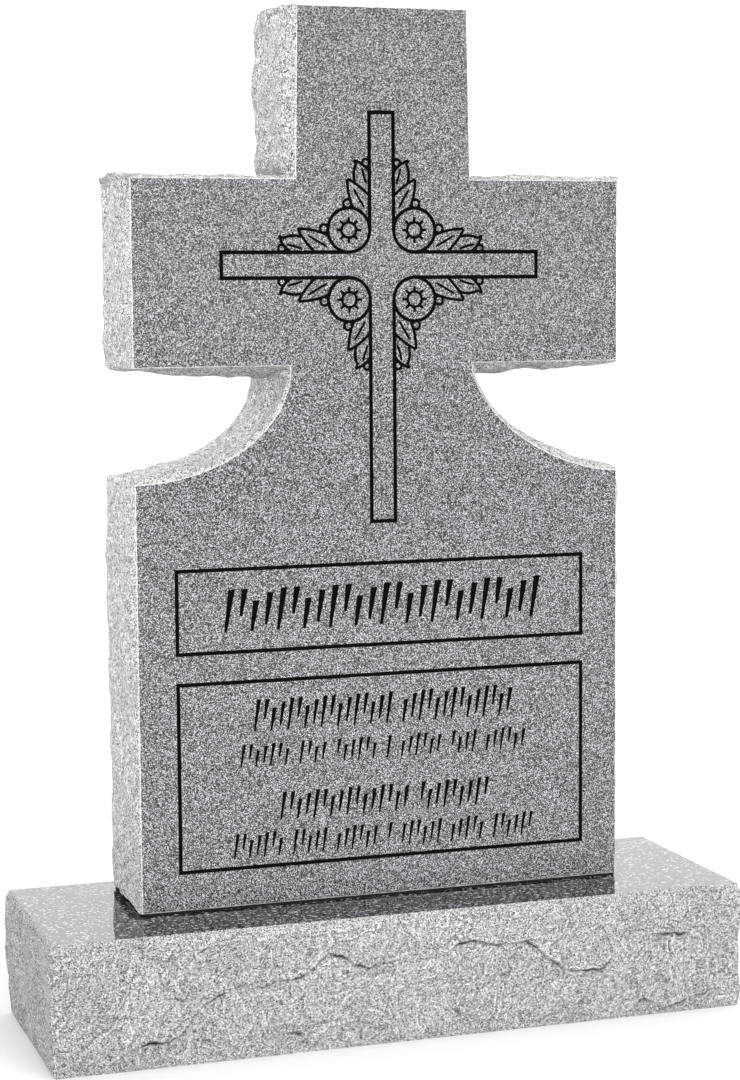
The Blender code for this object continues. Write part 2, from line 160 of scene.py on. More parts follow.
# Hollow under the pitched sides at the tablet's foot
FOOT_HOLLOW = 0.0034
FOOT_HOLLOW_WAVE = 0.0300
FOOT_HOLLOW_RUN = 0.0120
FOOT_REACH = 0.0200

# Painted shading of the pitched stone: ridges are painted lighter than the stone round them and hollows darker, the
# notches' walls get painted light and the arms' undersides painted shade
PAINTED_SHADING_RELIEF = 0.00045
PAINTED_NOTCH_LIGHT = 1.50
PAINTED_NOTCH_LIGHT_RUN = 0.0600
PAINTED_NOTCH_LIGHT_FOOT = 0.35
PAINTED_UNDERSIDE_SHADE = -0.35

# Engraving: its lines are wider than the solids' by the spread of the paint over their edges
ENGRAVING_DEPTH = 0.0025
PAINT_SPREAD = 0.0006
LINE_WIDTH = 0.0040
LEAF_LINE_WIDTH = 0.0030
VEIN_WIDTH = 0.0024
VEIN_END_SHARE = 0.35
CROSS_BAR_WIDTH = 0.0300
CROSS_SIDE_MARGIN = 0.1073
CROSS_TOP_MARGIN = 0.1228
CROSS_FOOT_BELOW_SHOULDER = 0.0530
CROSSING_ABOVE_ARM_MIDDLE = 0.0085
ROSETTE_RADIUS = 0.0260
ROSETTE_LINE_WIDTH = 0.0036
EYE_RADIUS = 0.0090
EYE_LINE_WIDTH = 0.0028
RAY_COUNT = 8
RAY_TIP_RADIUS = 0.0155
RAY_WIDTH = 0.0034
RAY_TIP_WIDTH = 0.0022
BERRY_RADIUS = 0.0050
TIP_BERRY_RADIUS = 0.0044
BERRY_LINE_WIDTH = 0.0028
LEAF_SEGMENTS = 9
ROSETTE_SEGMENTS = 60
EYE_SEGMENTS = 32
BERRY_SEGMENTS = 20

# Leaf sprays, in rosette radii: first along the bar, then away from it, from the corner of the cross
POST_SPRAY_REACH = 0.95
BERRY_SLANT = math.radians(3.0)
TIP_BERRY_PLACE = (4.19, 0.17)
INNER_LEAF_BACK = ((2.00, 0.77), (2.60, 1.05), (3.42, 1.06))
INNER_LEAF_FRONT = ((3.42, 1.06), (3.25, 0.62), (2.62, 0.00))
INNER_LEAF_VEIN = ((2.96, 0.77), (2.45, 0.46), (2.04, 0.25))
OUTER_LEAF_BACK = ((3.28, 0.70), (3.72, 0.82), (4.16, 0.62))
OUTER_LEAF_FRONT = ((4.31, 0.76), (4.18, 0.25), (3.77, 0.03))
OUTER_LEAF_VEIN = ((3.96, 0.35), (3.50, 0.27), (3.19, 0.13))

# Framed panels on the body
PANEL_SIDE_MARGIN = 0.0478
PANEL_TOP_MARGIN = 0.1035
PANEL_GAP = 0.0365
PANEL_FOOT_MARGIN = 0.0490
UPPER_PANEL_HEIGHT = 0.0985

# Rows of slanting tapered strokes: side inset, height, stroke width, pitch and lengths of the words
UPPER_ROW = (0.0560, 0.0506, 0.0082, 0.0162, (8,))
LOWER_ROWS = (
    (0.0640, 0.0297, 0.0044, 0.0092, (4, 3, 4, 1, 4, 3, 4)),
    (0.1200, 0.0339, 0.0052, 0.0104, (5, 3)),
    (0.0710, 0.0275, 0.0044, 0.0092, (4, 3, 4, 1, 4, 3, 4)),
    (0.0910, 0.0381, 0.0054, 0.0104, (6, 5)),
)
LOWER_ROW_SPACES = (1.2, 1.4, 3.4, 1.6, 2.3)
STROKE_LEAN = math.tan(math.radians(9.0))
STROKE_FOOT_SHARE = 0.45
STROKE_RHYTHM = ((0.0, 1.0), (0.36, 1.0), (0.0, 0.72), (0.14, 0.90))

# Ledges across the base's front: points of place along the front, height below the top, and step
LEDGES = (
    ((-0.350, 0.128, 0.0000), (-0.320, 0.122, 0.0040), (-0.285, 0.119, 0.0045), (-0.272, 0.101, 0.0025),
     (-0.256, 0.085, 0.0015), (-0.236, 0.072, 0.0028), (-0.219, 0.067, 0.0000)),
    ((-0.218, 0.074, 0.0000), (-0.190, 0.067, 0.0020), (-0.160, 0.062, 0.0036), (-0.145, 0.062, 0.0036),
     (-0.126, 0.051, 0.0040), (-0.104, 0.037, 0.0050), (-0.090, 0.041, 0.0060), (-0.070, 0.053, 0.0030),
     (-0.054, 0.058, 0.0022), (-0.026, 0.052, 0.0020), (0.000, 0.045, 0.0000)),
    ((0.018, 0.053, 0.0000), (0.039, 0.048, 0.0025), (0.058, 0.040, 0.0038), (0.084, 0.038, 0.0045),
     (0.110, 0.043, 0.0040), (0.144, 0.043, 0.0042), (0.160, 0.054, 0.0035), (0.176, 0.070, 0.0060),
     (0.196, 0.084, 0.0095), (0.240, 0.088, 0.0090), (0.250, 0.079, 0.0045), (0.266, 0.066, 0.0000)),
    ((0.296, 0.053, 0.0000), (0.314, 0.051, 0.0034), (0.345, 0.052, 0.0040), (0.378, 0.057, 0.0000)),
    ((0.286, 0.130, 0.0000), (0.312, 0.136, 0.0038), (0.326, 0.144, 0.0026), (0.356, 0.138, 0.0024),
     (0.382, 0.133, 0.0034), (0.406, 0.122, 0.0000)),
    ((-0.172, 0.122, 0.0000), (-0.155, 0.126, 0.0030), (-0.138, 0.129, 0.0026), (-0.122, 0.127, 0.0000)),
    ((-0.090, 0.126, 0.0000), (-0.068, 0.118, 0.0020), (-0.050, 0.126, 0.0000)),
    ((0.008, 0.112, 0.0000), (0.039, 0.113, 0.0018), (0.058, 0.122, 0.0024), (0.090, 0.135, 0.0000)),
    ((-0.310, 0.071, 0.0000), (-0.285, 0.073, 0.0016), (-0.255, 0.073, 0.0000)),
    ((-0.376, 0.083, 0.0000), (-0.350, 0.091, 0.0016), (-0.328, 0.087, 0.0000)),
    ((-0.276, 0.121, 0.0000), (-0.250, 0.125, 0.0034), (-0.214, 0.128, 0.0000)),
)
LEDGE_FALL = 0.0032
LEDGE_FADE = 0.0300
# The shade in the ledges' steps is painted into the stone's tone
LEDGE_SHADE_RUN = 0.0026
LEDGE_SHADE_STEP = 0.0060
LEDGE_SHADE_SHARE = 0.55
LEDGE_SHADE_SPREAD = 2.0
LEDGE_STEP_SHARE = 0.60
LEDGE_SHADE_WAVE = 0.0180
LEDGE_WAVES = ((0.0190, 0.0030), (0.0075, 0.0021), (0.0034, 0.0010))

# Looks
POLISHED_GRAIN = 0.00092
PITCHED_GRAIN = 0.00125
BASE_TOP_GRAIN = 0.0026
BASE_TOP_GLOSS = 0.55
BASE_GRAIN = 0.00095
PHOTO_HEIGHT = 1080
FOCAL_PIXELS = 2448
SENSOR_HEIGHT = 36.0
CAMERA_PLACE = Vector((-0.9420, -2.8232, 0.8905))
CAMERA_YAW = math.radians(18.43)
CAMERA_PITCH = math.radians(-5.82)
CAMERA_ROLL = math.radians(-0.44)

# Area lights: name, place, side, watts, the point that they face and the angle of their beam
LIGHTS = (
    ("key", (1.3, -3.4, 3.2), 1.8, 45.0, (0.0, 0.0, 0.5), 180.0),
    ("fill", (0.3, -3.8, 0.9), 2.6, 24.0, (0.0, 0.0, 0.2), 180.0),
    ("low", (0.3, -3.8, 0.9), 0.8, 3.4, (0.0, 0.0, 0.1), 36.0),
    ("side", (-2.2, -0.6, 1.25), 1.2, 4.2, (0.0, 0.0, 0.9), 75.0),
)

# Derived sizes
TABLET_HEIGHT = BODY_HEIGHT + NOTCH_HEIGHT + ARM_HEIGHT + POST_HEIGHT
ARM_BOTTOM = BODY_HEIGHT + NOTCH_HEIGHT
ARM_TOP = ARM_BOTTOM + ARM_HEIGHT
CROSSING = ARM_BOTTOM + ARM_HEIGHT / 2 + CROSSING_ABOVE_ARM_MIDDLE
HALF_BAR = CROSS_BAR_WIDTH / 2
MERGE_DISTANCE = 0.00002

# The finishes of a stone, in the order of its materials
FINISHES = ("polished", "pitched", "arris", "paint")


def mitre(first, second):
    """The offset of a corner whose two sides each move by one unit along their normals."""
    return (first + second) / (1.0 + first.dot(second))


def corner_offset(before, bulge_before, after, bulge_after):
    """The offset of a corner between two sides that move by their own amounts along their normals."""
    if bulge_before == bulge_after:
        return mitre(before, after) * bulge_after
    slant = before.dot(after)
    spread = 1.0 - slant * slant
    share_before = (bulge_before - bulge_after * slant) / spread
    share_after = (bulge_after - bulge_before * slant) / spread
    return before * share_before + after * share_after


def segment_normals(line):
    """The outward normals of the segments of a line that runs counter-clockwise round the stone."""
    normals = []
    for start, end in zip(line, line[1:]):
        run = (end - start).normalized()
        normals.append(Vector((run.y, -run.x)))
    return normals


def straight(start, end, grid):
    """Points from start to end, both included, about a grid apart."""
    count = max(1, round((end - start).length / grid))
    return [start.lerp(end, index / count) for index in range(count + 1)]


def smooth(value):
    """Rises from 0 to 1 with flat ends as the value goes from 0 to 1."""
    value = min(1.0, max(0.0, value))
    return value * value * (3.0 - 2.0 * value)


def roughness_at(point):
    """Broad waves of the pitched stone, between 0 and 1, as in the solids."""
    place = (point + WAVE_SHIFT) / WAVE_LENGTH
    broad = BROAD_WAVE * noise.noise(place)
    narrow = NARROW_WAVE * noise.noise(place * NARROW_WAVES_PER_BROAD)
    return min(1.0, max(0.0, WAVE_MIDDLE + broad + narrow))


def bulge_share(point, distance):
    """How much of its full bulge a pitched side has, at a distance from the nearest arris."""
    run = min(1.0, distance / BULGE_RUN)
    rise = 1.0 - (1.0 - run) ** 2
    return rise * (SMOOTH_SHARE + (1.0 - SMOOTH_SHARE) * roughness_at(point))


def fullness(point):
    """The share of its bulge that a side keeps: in a notch it fades from the neck to the outer end."""
    inward = (TABLET_WIDTH / 2 - abs(point.x)) / ((TABLET_WIDTH - NECK_WIDTH) / 2)
    inside = NOTCH_END_SHARE + (1.0 - NOTCH_END_SHARE) * math.sqrt(max(0.0, inward))
    beyond = max(BODY_HEIGHT - point.y, point.y - ARM_BOTTOM, 0.0)
    return inside + (1.0 - inside) * min(1.0, beyond / CORNER_REACH)


def form(point, normal):
    """How far out the stone stands at a point beyond its bulge, as the photograph's outline shows it."""
    if abs(point.y - ARM_TOP) < MERGE_DISTANCE:
        return ARM_TOP_LIFT
    if BODY_HEIGHT < point.y < ARM_BOTTOM - MERGE_DISTANCE:
        return float(np.interp(abs(point.x), *zip(*(RIGHT_NOTCH_FORM if point.x > 0.0 else LEFT_NOTCH_FORM))))
    if point.x > 0.0:
        return 0.0
    return float(np.interp(point.y, *zip(*LEFT_FORM))) * min(1.0, max(0.0, -normal.x))


def rounded(points, corners, share):
    """A closed line of points, evened out near its corners by a share."""
    line = np.array(points)
    for corner in corners:
        window = line[corner - ROUND_POINTS:corner + ROUND_POINTS + 1].copy()
        for _ in range(ROUND_TIMES):
            window[1:-1] = window[1:-1] / 2 + (window[:-2] + window[2:]) / 4
        part = line[corner - ROUND_POINTS:corner + ROUND_POINTS + 1]
        line[corner - ROUND_POINTS:corner + ROUND_POINTS + 1] = part + (window - part) * share
    return [Vector(point) for point in line]


def painted_notch_light_and_underside_shade(point, depth):
    """How much painted light the notches' walls get, and painted shade the arms' undersides, at a depth behind the
    front.
    """
    # The arms' undersides get painted shade
    if abs(point.y - ARM_BOTTOM) < MERGE_DISTANCE:
        return PAINTED_UNDERSIDE_SHADE
    # The notches' walls get painted light, growing towards the neck
    if not BODY_HEIGHT < point.y < ARM_BOTTOM:
        return 0.0
    share = PAINTED_NOTCH_LIGHT_FOOT + (1.0 - PAINTED_NOTCH_LIGHT_FOOT) * (point.y - BODY_HEIGHT) / NOTCH_HEIGHT
    return PAINTED_NOTCH_LIGHT * smooth(depth / PAINTED_NOTCH_LIGHT_RUN) * share


def steps(point):
    """Flat levels of broken stone with steep steps between them, between about -0.5 and 0.5."""
    place = point / STEP_WAVE
    value = STEP_COUNT * (noise.noise(place) + 0.3 * noise.noise(place * 2.7))
    level = math.floor(value)
    return (level + smooth((value - level - 0.5) / STEP_EDGE + 0.5)) / STEP_COUNT


def facets(point, size):
    """Planes of broken stone, each tilted its own way, that meet in steep ramps: about -0.5 to 0.5."""
    place = point / size + noise.noise_vector(point / (2.0 * size)) * 0.4
    distances, middles = noise.voronoi(place)
    heights = []
    for middle in middles[:2]:
        tilt = noise.noise_vector(middle * FACET_SPREAD)
        heights.append(tilt.dot(place - middle) + FACET_LIFT * noise.noise(middle * FACET_SPREAD + tilt))
    share = 0.5 + 0.5 * smooth((distances[1] - distances[0]) / FACET_EDGE)
    return share * heights[0] + (1.0 - share) * heights[1]


def fine_relief(point, distance, step_height, facet_sizes):
    """Facets, chips and steps of a pitched side, in metres outward, fading towards the arris."""
    relief = step_height * steps(point)
    for size, depth in facet_sizes:
        relief += depth * facets(point, size)
    nearest = noise.voronoi(point / CHIP_SIZE)[0][0]
    relief += CHIP_DEPTH * (min(1.0, nearest * nearest) - 0.35)
    return relief * smooth(distance / RELIEF_RUN)


def painted_shading_of(levels, edges):
    """How far each point of a closed band of levels stands out from those round it, from -1 to 1: painted shading,
    lighter on ridges and darker in hollows.
    """
    heights = np.array(levels)
    padded = np.vstack((heights[:1], heights, heights[-1:]))
    rows = (padded[:-2] + padded[1:-1] + padded[2:]) / 3.0
    around = (np.roll(rows, 1, axis=1) + rows + np.roll(rows, -1, axis=1)) / 3.0
    return np.clip((heights - around) / PAINTED_SHADING_RELIEF, -1.0, 1.0) * np.array(edges)[:, None]


def arris_width(point):
    """The width of the broken edge at a point, a little uneven."""
    return ARRIS + ARRIS_UNEVENNESS * noise.noise(point / ARRIS_WAVE)


def notch_curve(half_width, half_neck, roundness):
    """A quarter of a rounded outline from the shoulder up to the neck."""
    count = round(math.hypot(half_width - half_neck, NOTCH_HEIGHT) * 1.13 / TABLET_GRID)
    points = []
    for index in range(count + 1):
        turn = math.pi / 2 * index / count
        inward = math.sin(turn) ** (2.0 / roundness)
        downward = max(0.0, math.cos(turn)) ** (2.0 / roundness)
        points.append(Vector((half_width - (half_width - half_neck) * inward, ARM_BOTTOM - NOTCH_HEIGHT * downward)))
    return points


def half_runs(post_bulge, post_shift, notch_roundness):
    """The sides of the right half, from the foot to the top: each a line and its bulge."""
    half_width = TABLET_WIDTH / 2
    half_neck = NECK_WIDTH / 2
    corners = (
        Vector((half_width, 0.0)), Vector((half_width, BODY_HEIGHT)), Vector((half_neck, ARM_BOTTOM)),
        Vector((half_width, ARM_BOTTOM)), Vector((half_width, ARM_TOP)),
        Vector((POST_FOOT_WIDTH / 2 + post_shift, ARM_TOP)),
        Vector((POST_TOP_WIDTH / 2 + post_shift, TABLET_HEIGHT)),
    )
    bulges = (BODY_BULGE, NOTCH_BULGE, NOTCH_BULGE, ARM_END_BULGE, TOP_BULGE, post_bulge)
    runs = [(straight(start, end, TABLET_GRID), bulge) for start, end, bulge in zip(corners, corners[1:], bulges)]
    runs[1] = (notch_curve(half_width, half_neck, notch_roundness), NOTCH_BULGE)
    return runs


def tablet_runs():
    """All sides of the tablet, counter-clockwise from the right end of its foot. The foot comes last."""
    right = half_runs(POST_RIGHT_BULGE, POST_SHIFT, RIGHT_NOTCH_ROUNDNESS)
    left = []
    for line, bulge in reversed(half_runs(POST_LEFT_BULGE, -POST_SHIFT, LEFT_NOTCH_ROUNDNESS)):
        left.append(([Vector((-point.x, point.y)) for point in reversed(line)], bulge))
    top = (straight(right[-1][0][-1], left[0][0][0], TABLET_GRID), TOP_BULGE)
    foot = (straight(left[-1][0][-1], right[0][0][0], FOOT_GRID), 0.0)
    return right + [top] + left + [foot]


def base_runs():
    """The four sides of the base's arris seen from above, counter-clockwise, each with a bulge of one unit."""
    half_length = BASE_LENGTH / 2
    half_depth = BASE_DEPTH / 2
    corners = [Vector((x * half_length, y * half_depth)) for x, y in ((-1, -1), (1, -1), (1, 1), (-1, 1))]
    return [(straight(start, end, BASE_GRID), 1.0) for start, end in zip(corners, corners[1:] + corners[:1])]


def outline_points(runs):
    """For each point of a closed outline: its place, its outward normal for an inset, and its full bulge."""
    normals = [segment_normals(line) for line, _ in runs]
    result = []
    for number, (line, bulge) in enumerate(runs):
        before = normals[number - 1][-1]
        after = normals[(number + 1) % len(runs)][0]
        own = normals[number]
        start = corner_offset(before, runs[number - 1][1], own[0], bulge)
        end = corner_offset(own[-1], bulge, after, runs[(number + 1) % len(runs)][1])
        start_slide = start - own[0] * bulge
        end_slide = end - own[-1] * bulge
        for index, point in enumerate(line[:-1]):
            normal = mitre(own[index - 1], own[index]) if index else own[0]
            inset = normal if index else mitre(before, own[0])
            from_start = max(0.0, 1.0 - (point - line[0]).length / CORNER_REACH)
            from_end = max(0.0, 1.0 - (point - line[-1]).length / CORNER_REACH)
            offset = normal * bulge + start_slide * from_start + end_slide * from_end
            result.append((point, inset, offset))
    return result


def ribbon(path, width, end_share=1.0):
    """The outline of a stroke along a path, narrower at its two ends."""
    points = [Vector(point) for point in path]
    normals = []
    for start, end in zip(points, points[1:]):
        run = (end - start).normalized()
        normals.append(Vector((-run.y, run.x)))
    left = []
    right = []
    for index, point in enumerate(points):
        offset = mitre(normals[max(index - 1, 0)], normals[min(index, len(normals) - 1)]) * (width + PAINT_SPREAD) / 2
        if index in (0, len(points) - 1):
            offset = offset * end_share
        left.append(point + offset)
        right.append(point - offset)
    return left + right[::-1]


def arc(centre, radius, start, end, segments):
    angles = [start + (end - start) * index / segments for index in range(segments + 1)]
    return [Vector(centre) + radius * Vector((math.cos(angle), math.sin(angle))) for angle in angles]


def ring(centre, radius, width, segments):
    """A round line as two half rings."""
    halves = ((0.0, math.pi), (math.pi, 2 * math.pi))
    return [ribbon(arc(centre, radius, start, end, segments // 2), width) for start, end in halves]


def bend(start, pull, end):
    """Points of a curve from start to end that is pulled towards a third point."""
    points = []
    for index in range(LEAF_SEGMENTS + 1):
        share = index / LEAF_SEGMENTS
        nearer = Vector(start).lerp(Vector(pull), share)
        points.append(nearer.lerp(Vector(pull).lerp(Vector(end), share), share))
    return points


def cross_lines():
    """The four ends of the cross, each an open line that runs from one rosette to the next."""
    clear = HALF_BAR + ROSETTE_RADIUS
    reach = TABLET_WIDTH / 2 - CROSS_SIDE_MARGIN
    top = TABLET_HEIGHT - CROSS_TOP_MARGIN
    foot = BODY_HEIGHT - CROSS_FOOT_BELOW_SHOULDER
    lines = []
    for end, turn in ((top, 1), (foot, -1)):
        start = CROSSING + turn * clear
        lines.append([(-HALF_BAR, start), (-HALF_BAR, end), (HALF_BAR, end), (HALF_BAR, start)])
    low = CROSSING - HALF_BAR
    high = CROSSING + HALF_BAR
    for turn in (-1, 1):
        lines.append([(turn * clear, low), (turn * reach, low), (turn * reach, high), (turn * clear, high)])
    return [ribbon(line, LINE_WIDTH) for line in lines]


def rosette(centre):
    strokes = ring(centre, ROSETTE_RADIUS, ROSETTE_LINE_WIDTH, ROSETTE_SEGMENTS)
    strokes += ring(centre, EYE_RADIUS, EYE_LINE_WIDTH, EYE_SEGMENTS)
    for index in range(RAY_COUNT):
        angle = 2 * math.pi * index / RAY_COUNT
        outward = Vector((math.cos(angle), math.sin(angle)))
        across = Vector((-outward.y, outward.x)) / 2
        root = centre + outward * EYE_RADIUS
        tip = centre + outward * RAY_TIP_RADIUS
        wide = across * (RAY_WIDTH + PAINT_SPREAD)
        narrow = across * (RAY_TIP_WIDTH + PAINT_SPREAD)
        strokes.append([root - wide, tip - narrow, tip + narrow, root + wide])
    return strokes


def leaf_spray(turned, reach):
    """Two leaves and two berries along one side of a bar, with a share of their reach beyond the rosette."""
    def place(point):
        return turned((1.0 + (point[0] - 1.0) * reach, point[1]))

    outer_edges = (INNER_LEAF_BACK, INNER_LEAF_FRONT, OUTER_LEAF_BACK, OUTER_LEAF_FRONT)
    strokes = [ribbon([place(point) for point in bend(*edge)], LEAF_LINE_WIDTH) for edge in outer_edges]
    strokes.append(ribbon([place(OUTER_LEAF_BACK[-1]), place(OUTER_LEAF_FRONT[0])], LEAF_LINE_WIDTH))
    for vein in (INNER_LEAF_VEIN, OUTER_LEAF_VEIN):
        strokes.append(ribbon([place(point) for point in bend(*vein)], VEIN_WIDTH, VEIN_END_SHARE))
    berry_reach = 1.0 + BERRY_RADIUS / ROSETTE_RADIUS
    berry = (1.0 + berry_reach * math.cos(BERRY_SLANT), 1.0 + berry_reach * math.sin(BERRY_SLANT))
    strokes += ring(turned(berry), BERRY_RADIUS, BERRY_LINE_WIDTH, BERRY_SEGMENTS)
    strokes += ring(place(TIP_BERRY_PLACE), TIP_BERRY_RADIUS, BERRY_LINE_WIDTH, BERRY_SEGMENTS)
    return strokes


def corner_ornament(side, rise):
    """A rosette in one corner of the cross, with a spray along each of the two bars."""
    corner = Vector((side * HALF_BAR, CROSSING + rise * HALF_BAR))

    def along_bar(point):
        return corner + ROSETTE_RADIUS * Vector((side * point[0], rise * point[1]))

    def along_post(point):
        return corner + ROSETTE_RADIUS * Vector((side * point[1], rise * point[0]))

    sprays = leaf_spray(along_bar, 1.0) + leaf_spray(along_post, POST_SPRAY_REACH)
    return rosette(along_bar((1.0, 1.0))) + sprays


def frame_line(half_width, bottom, top):
    """A rectangle of line, as two halves that meet in the middle."""
    halves = []
    for side in (-1, 1):
        path = [(0.0, bottom), (side * half_width, bottom), (side * half_width, top), (0.0, top)]
        halves.append(ribbon(path, LINE_WIDTH))
    return halves


def stroke_row(half_width, bottom, height, stroke_width, pitch, words):
    """Slanting tapered strokes in groups, centred, with a blank place between two groups."""
    places = int((2 * half_width - stroke_width) / pitch) + 1
    blanks = {round(places * sum(words[:count]) / sum(words)) for count in range(1, len(words))}
    strokes = []
    for index in range(places):
        if index in blanks:
            continue
        low, high = STROKE_RHYTHM[index % len(STROKE_RHYTHM)]
        middle = (index - (places - 1) / 2) * pitch
        foot = Vector((middle + (low - 0.5) * height * STROKE_LEAN, bottom + low * height))
        head = Vector((middle + (high - 0.5) * height * STROKE_LEAN, bottom + high * height))
        half = Vector((stroke_width / 2, 0.0))
        narrow = half * STROKE_FOOT_SHARE
        strokes.append([foot - narrow, foot + narrow, head + half, head - half])
    return strokes


def panels():
    """Two framed panels on the body, filled with rows of strokes."""
    half_width = TABLET_WIDTH / 2 - PANEL_SIDE_MARGIN
    upper_top = BODY_HEIGHT - PANEL_TOP_MARGIN
    upper_bottom = upper_top - UPPER_PANEL_HEIGHT
    lower_top = upper_bottom - PANEL_GAP
    strokes = frame_line(half_width, upper_bottom, upper_top)
    strokes += frame_line(half_width, PANEL_FOOT_MARGIN, lower_top)
    inset, height, *rest = UPPER_ROW
    bottom = (upper_bottom + upper_top - height) / 2
    strokes += stroke_row(half_width - inset, bottom, height, *rest)
    free_height = lower_top - PANEL_FOOT_MARGIN - sum(row[1] for row in LOWER_ROWS)
    space = free_height / sum(LOWER_ROW_SPACES)
    bottom = PANEL_FOOT_MARGIN
    for gap, (inset, height, *rest) in zip(LOWER_ROW_SPACES, LOWER_ROWS):
        bottom += gap * space
        strokes += stroke_row(half_width - inset, bottom, height, *rest)
        bottom += height
    return strokes


def engraving():
    strokes = cross_lines() + panels()
    for side in (-1, 1):
        for rise in (-1, 1):
            strokes += corner_ornament(side, rise)
    return strokes


def counter_clockwise(polygon):
    doubled_area = sum(start.cross(end) for start, end in zip(polygon, polygon[1:] + polygon[:1]))
    return polygon if doubled_area > 0 else polygon[::-1]


def add_cap(mesh, loop, flatten, lift, strokes=()):
    """Closes a flat loop of vertices with triangles, and sinks the strokes into it with upright walls.

    flatten turns a vertex's place into a flat point, and lift turns a flat point and a depth back.
    """
    points = []
    polygons = []
    for polygon in [[flatten(vertex.co) for vertex in loop]] + [counter_clockwise(item) for item in strokes]:
        polygons.append(list(range(len(points), len(points) + len(polygon))))
        points += polygon
    places, _, triangles, sources, _, covers = delaunay_2d_cdt(points, [], polygons, 0, MERGE_DISTANCE)
    surface = [next((loop[index] for index in origin if index < len(loop)), None) for origin in sources]
    floor = [None] * len(places)

    def vertex_at(index, sunk):
        level = floor if sunk else surface
        if level[index] is None:
            level[index] = mesh.verts.new(lift(places[index], ENGRAVING_DEPTH if sunk else 0.0))
        return level[index]

    levels = {}
    for triangle, cover in zip(triangles, covers):
        if 0 not in cover:
            continue
        sunk = len(cover) > 1
        face = mesh.faces.new([vertex_at(index, sunk) for index in triangle])
        face.smooth = False
        face.material_index = FINISHES.index("paint" if sunk else "polished")
        for edge in zip(triangle, triangle[1:] + triangle[:1]):
            levels[edge] = sunk
    for (start, end), sunk in levels.items():
        if sunk and levels.get((end, start)) is False:
            wall = ((start, True), (end, True), (end, False), (start, False))
            face = mesh.faces.new([vertex_at(index, deep) for index, deep in wall][::-1])
            face.material_index = FINISHES.index("paint")


def add_bands(mesh, loops, arris_bands):
    """Joins loops with the same number of vertices, one to the next. Some bands are the arris."""
    count = len(loops[0])
    for band, (lower, upper) in enumerate(zip(loops, loops[1:])):
        finish = "arris" if band in arris_bands else "pitched"
        for index in range(count):
            after = (index + 1) % count
            face = mesh.faces.new((lower[index], lower[after], upper[after], upper[index]))
            face.material_index = FINISHES.index(finish)
            face.smooth = True


def add_painted_shading(piece, before, painted_shading):
    """Writes the painted shading of the pitched points, which come after a number of others, for the materials."""
    values = np.zeros(len(piece.data.vertices), dtype=np.float32)
    values[before:before + painted_shading.size] = painted_shading.ravel()
    piece.data.attributes.new("painted_shading", "FLOAT", "POINT").data.foreach_set("value", values)


def finish_piece(name, mesh, materials, node):
    """Makes the object, which rides on the one body and stands for a node of the frame."""
    bmesh.ops.recalc_face_normals(mesh, faces=mesh.faces)
    data = bpy.data.meshes.new(name)
    mesh.to_mesh(data)
    mesh.free()
    data.set_sharp_from_angle(angle=math.radians(30.0))
    for material in materials:
        data.materials.append(material)
    piece = bpy.data.objects.new(name, data)
    bpy.context.scene.collection.objects.link(piece)
    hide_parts(node)
    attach(piece, "root")
    return piece


def build_tablet(materials):
    outline = outline_points(tablet_runs())
    mesh = bmesh.new()
    back = TABLET_THICKNESS
    bottom = tablet_low.z + BED_HEIGHT
    highest = cad_high.z

    def vertex(flat, depth):
        height = min(max(tablet_low.z + flat.y, bottom), highest)
        return mesh.verts.new((flat.x, tablet_low.y + depth, height))

    def inset_loop(depth):
        loop = []
        for point, inset, _ in outline:
            width = arris_width(Vector((point.x, depth, point.y)))
            moved = point - inset * width
            moved.y += foot_lift(point, depth, 0.0)
            loop.append(vertex(moved, depth))
        return loop

    def foot_lift(point, depth, from_arris):
        """How far the stone is raised near its foot, over the bed and the hollow under its sides."""
        if point.y > FOOT_REACH:
            return 0.0
        lift = BED_HEIGHT
        if abs(point.x) > TABLET_WIDTH / 2 - MERGE_DISTANCE:
            wave = noise.noise(Vector((point.x, depth / FOOT_HOLLOW_WAVE, 0.0)))
            lift += FOOT_HOLLOW * (0.65 + wave) * smooth(from_arris / FOOT_HOLLOW_RUN)
        return lift * (1.0 - point.y / FOOT_REACH)

    reliefs = []
    inner_ends = [
        index for index, (point, _, _) in enumerate(outline)
        if abs(point.y - ARM_BOTTOM) < MERGE_DISTANCE and abs(abs(point.x) - NECK_WIDTH / 2) < MERGE_DISTANCE
    ]

    def side_loop(depth, from_arris):
        line = []
        heights = []
        for point, inset, offset in outline:
            place = Vector((point.x, depth, point.y))
            moved = point + offset * fullness(point) * bulge_share(place, from_arris)
            moved += inset * form(point, inset) * smooth(from_arris / FORM_RUN)
            height = 0.0
            if point.y > MERGE_DISTANCE:
                height = fine_relief(place, from_arris, TABLET_STEP, TABLET_FACETS)
                moved += inset.normalized() * height
            moved.y += foot_lift(point, depth, from_arris)
            line.append(moved)
            heights.append(height)
        reliefs.append(heights)
        return [vertex(point, depth) for point in rounded(line, inner_ends, smooth(from_arris / FORM_RUN))]

    rough_depth = back - 2 * ARRIS
    bands = round(rough_depth / TABLET_GRID)
    levels = [rough_depth * band / bands for band in range(bands + 1)]
    edges = [min(level, rough_depth - level) for level in levels]
    loops = [inset_loop(0.0)]
    loops += [side_loop(ARRIS + level, edge) for level, edge in zip(levels, edges)]
    loops.append(inset_loop(back))
    add_bands(mesh, loops, (0, len(loops) - 2))
    # Painted shading: lighter on ridges, darker in hollows, painted light on the notches' walls and painted shade under
    # the arms
    painted_shading = painted_shading_of(reliefs, [smooth(edge / RELIEF_RUN) for edge in edges])
    painted_shading += np.array([[painted_notch_light_and_underside_shade(point, level) for point, _, _ in outline] for level in levels])

    def flatten(place):
        return Vector((place.x, place.z - tablet_low.z))

    add_cap(
        mesh, loops[0], flatten,
        lambda point, depth: (point.x, tablet_low.y + depth, tablet_low.z + point.y), engraving(),
    )
    add_cap(
        mesh, loops[-1], flatten,
        lambda point, depth: (point.x, tablet_high.y, tablet_low.z + point.y),
    )
    piece = finish_piece("tablet_stone", mesh, materials, "tablet")
    add_painted_shading(piece, len(outline), painted_shading)


